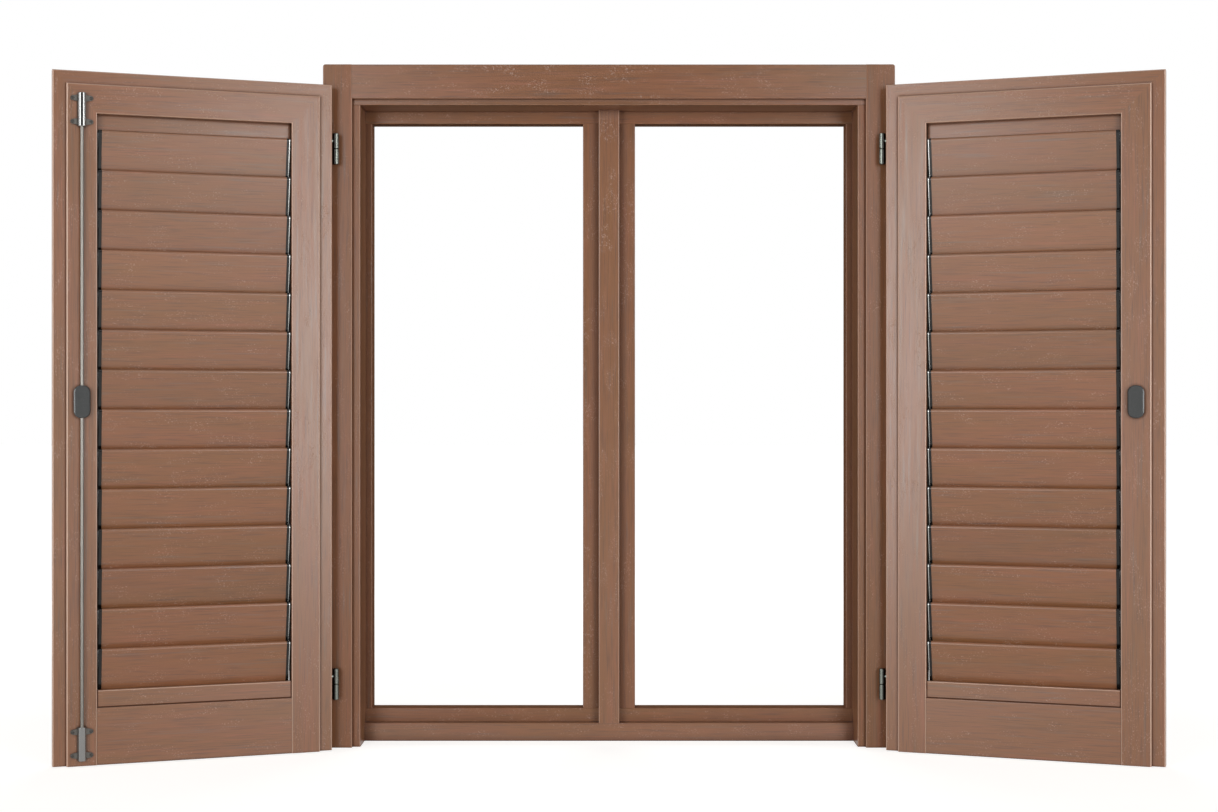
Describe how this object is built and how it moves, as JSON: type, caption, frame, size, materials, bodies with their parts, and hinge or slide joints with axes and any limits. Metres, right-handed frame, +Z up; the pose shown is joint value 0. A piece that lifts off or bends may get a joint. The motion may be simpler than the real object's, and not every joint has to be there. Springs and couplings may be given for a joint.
{
  "type": "louvred window shutters with frame",
  "caption": "Pair of hinged louvred shutters with tilting slats, bolt rod and grips, swung open on a stepped timber casing with a mullioned window frame.",
  "frame": {"origin": "middle of the bottom rail's underside, half way through the window frame's depth", "axes": "+Z up, +Y into the wall, +X to the right as seen from the side to which the leaves open"},
  "size_m": [2.2214, 0.384, 1.433],
  "materials": {
    "casing_timber": "satin brown stain with fine grain",
    "window_timber": "satin brown stain with fine grain",
    "leaf_timber": "satin brown stain with fine grain",
    "slat_timber": "satin brown stain with fine grain",
    "black_plastic": "gloss black",
    "bolt_steel": "satin steel",
    "tie_steel": "rolled steel",
    "dark_metal": "dark grey coating"
  },
  "bodies": {
    "frame": {"casing_head": "casing_timber", "casing_jamb_left": "casing_timber", "casing_jamb_right": "casing_timber", "window_head": "window_timber", "window_posts": "window_timber", "window_bottom_rail": "window_timber", "mullion": "window_timber", "left_light_frame": "window_timber", "right_light_frame": "window_timber", "hinge_posts": "dark_metal"},
    "left_leaf": {"left_hinge_stile": "leaf_timber", "left_meeting_stile": "leaf_timber", "left_top_rail": "leaf_timber", "left_bottom_rail": "leaf_timber", "left_top_filler": "leaf_timber", "left_bottom_filler": "leaf_timber", "left_pivot_strips": "black_plastic", "left_hinge_knuckles": "dark_metal", "rod_guides": "dark_metal"},
    "left_slat_01": {"left_slat_01": "slat_timber"},
    "left_slat_02": {"left_slat_02": "slat_timber"},
    "left_slat_03": {"left_slat_03": "slat_timber"},
    "left_slat_04": {"left_slat_04": "slat_timber"},
    "left_slat_05": {"left_slat_05": "slat_timber"},
    "left_slat_06": {"left_slat_06": "slat_timber"},
    "left_slat_07": {"left_slat_07": "slat_timber"},
    "left_slat_08": {"left_slat_08": "slat_timber"},
    "left_slat_09": {"left_slat_09": "slat_timber"},
    "left_slat_10": {"left_slat_10": "slat_timber"},
    "left_slat_11": {"left_slat_11": "slat_timber"},
    "left_slat_12": {"left_slat_12": "slat_timber"},
    "left_slat_13": {"left_slat_13": "slat_timber"},
    "left_slat_14": {"left_slat_14": "slat_timber"},
    "left_tie_bar": {"left_tie_bar": "tie_steel"},
    "right_leaf": {"right_hinge_stile": "leaf_timber", "right_meeting_stile": "leaf_timber", "right_top_rail": "leaf_timber", "right_bottom_rail": "leaf_timber", "right_top_filler": "leaf_timber", "right_bottom_filler": "leaf_timber", "right_pivot_strips": "black_plastic", "right_hinge_knuckles": "dark_metal", "fixed_grip": "dark_metal"},
    "right_slat_01": {"right_slat_01": "slat_timber"},
    "right_slat_02": {"right_slat_02": "slat_timber"},
    "right_slat_03": {"right_slat_03": "slat_timber"},
    "right_slat_04": {"right_slat_04": "slat_timber"},
    "right_slat_05": {"right_slat_05": "slat_timber"},
    "right_slat_06": {"right_slat_06": "slat_timber"},
    "right_slat_07": {"right_slat_07": "slat_timber"},
    "right_slat_08": {"right_slat_08": "slat_timber"},
    "right_slat_09": {"right_slat_09": "slat_timber"},
    "right_slat_10": {"right_slat_10": "slat_timber"},
    "right_slat_11": {"right_slat_11": "slat_timber"},
    "right_slat_12": {"right_slat_12": "slat_timber"},
    "right_slat_13": {"right_slat_13": "slat_timber"},
    "right_slat_14": {"right_slat_14": "slat_timber"},
    "right_tie_bar": {"right_tie_bar": "tie_steel"},
    "bolt": {"bolt_rod": "bolt_steel", "bolt_grip": "dark_metal"}
  },
  "joints": [
    {"name": "left_leaf_swing", "type": "hinge", "parent": "frame", "child": "left_leaf", "pos_m": [-0.5708, -0.134, 0], "axis": [0, 0, 1], "range_deg": [-19.5, 160.5]},
    {"name": "left_slat_01_tilt", "type": "hinge", "parent": "left_leaf", "child": "left_slat_01", "pos_m": [-0.84204, -0.23695, 0.18925], "axis": [0.9426, 0.3338, 0], "range_deg": [-5, 60]},
    {"name": "left_slat_02_tilt", "type": "hinge", "parent": "left_leaf", "child": "left_slat_02", "pos_m": [-0.84204, -0.23695, 0.26895], "axis": [0.9426, 0.3338, 0], "range_deg": [-5, 60]},
    {"name": "left_slat_03_tilt", "type": "hinge", "parent": "left_leaf", "child": "left_slat_03", "pos_m": [-0.84204, -0.23695, 0.34865], "axis": [0.9426, 0.3338, 0], "range_deg": [-5, 60]},
    {"name": "left_slat_04_tilt", "type": "hinge", "parent": "left_leaf", "child": "left_slat_04", "pos_m": [-0.84204, -0.23695, 0.42835], "axis": [0.9426, 0.3338, 0], "range_deg": [-5, 60]},
    {"name": "left_slat_05_tilt", "type": "hinge", "parent": "left_leaf", "child": "left_slat_05", "pos_m": [-0.84204, -0.23695, 0.50805], "axis": [0.9426, 0.3338, 0], "range_deg": [-5, 60]},
    {"name": "left_slat_06_tilt", "type": "hinge", "parent": "left_leaf", "child": "left_slat_06", "pos_m": [-0.84204, -0.23695, 0.58775], "axis": [0.9426, 0.3338, 0], "range_deg": [-5, 60]},
    {"name": "left_slat_07_tilt", "type": "hinge", "parent": "left_leaf", "child": "left_slat_07", "pos_m": [-0.84204, -0.23695, 0.66745], "axis": [0.9426, 0.3338, 0], "range_deg": [-5, 60]},
    {"name": "left_slat_08_tilt", "type": "hinge", "parent": "left_leaf", "child": "left_slat_08", "pos_m": [-0.84204, -0.23695, 0.74715], "axis": [0.9426, 0.3338, 0], "range_deg": [-5, 60]},
    {"name": "left_slat_09_tilt", "type": "hinge", "parent": "left_leaf", "child": "left_slat_09", "pos_m": [-0.84204, -0.23695, 0.82685], "axis": [0.9426, 0.3338, 0], "range_deg": [-5, 60]},
    {"name": "left_slat_10_tilt", "type": "hinge", "parent": "left_leaf", "child": "left_slat_10", "pos_m": [-0.84204, -0.23695, 0.90655], "axis": [0.9426, 0.3338, 0], "range_deg": [-5, 60]},
    {"name": "left_slat_11_tilt", "type": "hinge", "parent": "left_leaf", "child": "left_slat_11", "pos_m": [-0.84204, -0.23695, 0.98625], "axis": [0.9426, 0.3338, 0], "range_deg": [-5, 60]},
    {"name": "left_slat_12_tilt", "type": "hinge", "parent": "left_leaf", "child": "left_slat_12", "pos_m": [-0.84204, -0.23695, 1.06595], "axis": [0.9426, 0.3338, 0], "range_deg": [-5, 60]},
    {"name": "left_slat_13_tilt", "type": "hinge", "parent": "left_leaf", "child": "left_slat_13", "pos_m": [-0.84204, -0.23695, 1.14565], "axis": [0.9426, 0.3338, 0], "range_deg": [-5, 60]},
    {"name": "left_slat_14_tilt", "type": "hinge", "parent": "left_leaf", "child": "left_slat_14", "pos_m": [-0.84204, -0.23695, 1.22535], "axis": [0.9426, 0.3338, 0], "range_deg": [-5, 60]},
    {"name": "left_tie_bar_pivot", "type": "hinge", "parent": "left_slat_01", "child": "left_tie_bar", "pos_m": [-0.65984, -0.16956, 0.17756], "axis": [0.9426, 0.3338, 0], "range_deg": [-60, 5]},
    {"name": "right_leaf_swing", "type": "hinge", "parent": "frame", "child": "right_leaf", "pos_m": [0.5708, -0.134, 0], "axis": [0, 0, -1], "range_deg": [-19.5, 160.5]},
    {"name": "right_slat_01_tilt", "type": "hinge", "parent": "right_leaf", "child": "right_slat_01", "pos_m": [0.84204, -0.23695, 0.18925], "axis": [0.9426, -0.3338, 0], "range_deg": [-5, 60]},
    {"name": "right_slat_02_tilt", "type": "hinge", "parent": "right_leaf", "child": "right_slat_02", "pos_m": [0.84204, -0.23695, 0.26895], "axis": [0.9426, -0.3338, 0], "range_deg": [-5, 60]},
    {"name": "right_slat_03_tilt", "type": "hinge", "parent": "right_leaf", "child": "right_slat_03", "pos_m": [0.84204, -0.23695, 0.34865], "axis": [0.9426, -0.3338, 0], "range_deg": [-5, 60]},
    {"name": "right_slat_04_tilt", "type": "hinge", "parent": "right_leaf", "child": "right_slat_04", "pos_m": [0.84204, -0.23695, 0.42835], "axis": [0.9426, -0.3338, 0], "range_deg": [-5, 60]},
    {"name": "right_slat_05_tilt", "type": "hinge", "parent": "right_leaf", "child": "right_slat_05", "pos_m": [0.84204, -0.23695, 0.50805], "axis": [0.9426, -0.3338, 0], "range_deg": [-5, 60]},
    {"name": "right_slat_06_tilt", "type": "hinge", "parent": "right_leaf", "child": "right_slat_06", "pos_m": [0.84204, -0.23695, 0.58775], "axis": [0.9426, -0.3338, 0], "range_deg": [-5, 60]},
    {"name": "right_slat_07_tilt", "type": "hinge", "parent": "right_leaf", "child": "right_slat_07", "pos_m": [0.84204, -0.23695, 0.66745], "axis": [0.9426, -0.3338, 0], "range_deg": [-5, 60]},
    {"name": "right_slat_08_tilt", "type": "hinge", "parent": "right_leaf", "child": "right_slat_08", "pos_m": [0.84204, -0.23695, 0.74715], "axis": [0.9426, -0.3338, 0], "range_deg": [-5, 60]},
    {"name": "right_slat_09_tilt", "type": "hinge", "parent": "right_leaf", "child": "right_slat_09", "pos_m": [0.84204, -0.23695, 0.82685], "axis": [0.9426, -0.3338, 0], "range_deg": [-5, 60]},
    {"name": "right_slat_10_tilt", "type": "hinge", "parent": "right_leaf", "child": "right_slat_10", "pos_m": [0.84204, -0.23695, 0.90655], "axis": [0.9426, -0.3338, 0], "range_deg": [-5, 60]},
    {"name": "right_slat_11_tilt", "type": "hinge", "parent": "right_leaf", "child": "right_slat_11", "pos_m": [0.84204, -0.23695, 0.98625], "axis": [0.9426, -0.3338, 0], "range_deg": [-5, 60]},
    {"name": "right_slat_12_tilt", "type": "hinge", "parent": "right_leaf", "child": "right_slat_12", "pos_m": [0.84204, -0.23695, 1.06595], "axis": [0.9426, -0.3338, 0], "range_deg": [-5, 60]},
    {"name": "right_slat_13_tilt", "type": "hinge", "parent": "right_leaf", "child": "right_slat_13", "pos_m": [0.84204, -0.23695, 1.14565], "axis": [0.9426, -0.3338, 0], "range_deg": [-5, 60]},
    {"name": "right_slat_14_tilt", "type": "hinge", "parent": "right_leaf", "child": "right_slat_14", "pos_m": [0.84204, -0.23695, 1.22535], "axis": [0.9426, -0.3338, 0], "range_deg": [-5, 60]},
    {"name": "right_tie_bar_pivot", "type": "hinge", "parent": "right_slat_01", "child": "right_tie_bar", "pos_m": [0.65984, -0.16956, 0.17756], "axis": [0.9426, -0.3338, 0], "range_deg": [-60, 5]},
    {"name": "bolt_slide", "type": "slide", "parent": "left_leaf", "child": "bolt", "axis": [0, 0, 1], "range_m": [0, 0.025]}
  ],
  "couplings": [
    {"joint": "left_slat_02_tilt", "follows": "left_slat_01_tilt", "ratio": 1},
    {"joint": "left_slat_03_tilt", "follows": "left_slat_01_tilt", "ratio": 1},
    {"joint": "left_slat_04_tilt", "follows": "left_slat_01_tilt", "ratio": 1},
    {"joint": "left_slat_05_tilt", "follows": "left_slat_01_tilt", "ratio": 1},
    {"joint": "left_slat_06_tilt", "follows": "left_slat_01_tilt", "ratio": 1},
    {"joint": "left_slat_07_tilt", "follows": "left_slat_01_tilt", "ratio": 1},
    {"joint": "left_slat_08_tilt", "follows": "left_slat_01_tilt", "ratio": 1},
    {"joint": "left_slat_09_tilt", "follows": "left_slat_01_tilt", "ratio": 1},
    {"joint": "left_slat_10_tilt", "follows": "left_slat_01_tilt", "ratio": 1},
    {"joint": "left_slat_11_tilt", "follows": "left_slat_01_tilt", "ratio": 1},
    {"joint": "left_slat_12_tilt", "follows": "left_slat_01_tilt", "ratio": 1},
    {"joint": "left_slat_13_tilt", "follows": "left_slat_01_tilt", "ratio": 1},
    {"joint": "left_slat_14_tilt", "follows": "left_slat_01_tilt", "ratio": 1},
    {"joint": "left_tie_bar_pivot", "follows": "left_slat_01_tilt", "ratio": -1},
    {"joint": "right_slat_02_tilt", "follows": "right_slat_01_tilt", "ratio": 1},
    {"joint": "right_slat_03_tilt", "follows": "right_slat_01_tilt", "ratio": 1},
    {"joint": "right_slat_04_tilt", "follows": "right_slat_01_tilt", "ratio": 1},
    {"joint": "right_slat_05_tilt", "follows": "right_slat_01_tilt", "ratio": 1},
    {"joint": "right_slat_06_tilt", "follows": "right_slat_01_tilt", "ratio": 1},
    {"joint": "right_slat_07_tilt", "follows": "right_slat_01_tilt", "ratio": 1},
    {"joint": "right_slat_08_tilt", "follows": "right_slat_01_tilt", "ratio": 1},
    {"joint": "right_slat_09_tilt", "follows": "right_slat_01_tilt", "ratio": 1},
    {"joint": "right_slat_10_tilt", "follows": "right_slat_01_tilt", "ratio": 1},
    {"joint": "right_slat_11_tilt", "follows": "right_slat_01_tilt", "ratio": 1},
    {"joint": "right_slat_12_tilt", "follows": "right_slat_01_tilt", "ratio": 1},
    {"joint": "right_slat_13_tilt", "follows": "right_slat_01_tilt", "ratio": 1},
    {"joint": "right_slat_14_tilt", "follows": "right_slat_01_tilt", "ratio": 1},
    {"joint": "right_tie_bar_pivot", "follows": "right_slat_01_tilt", "ratio": -1}
  ]
}
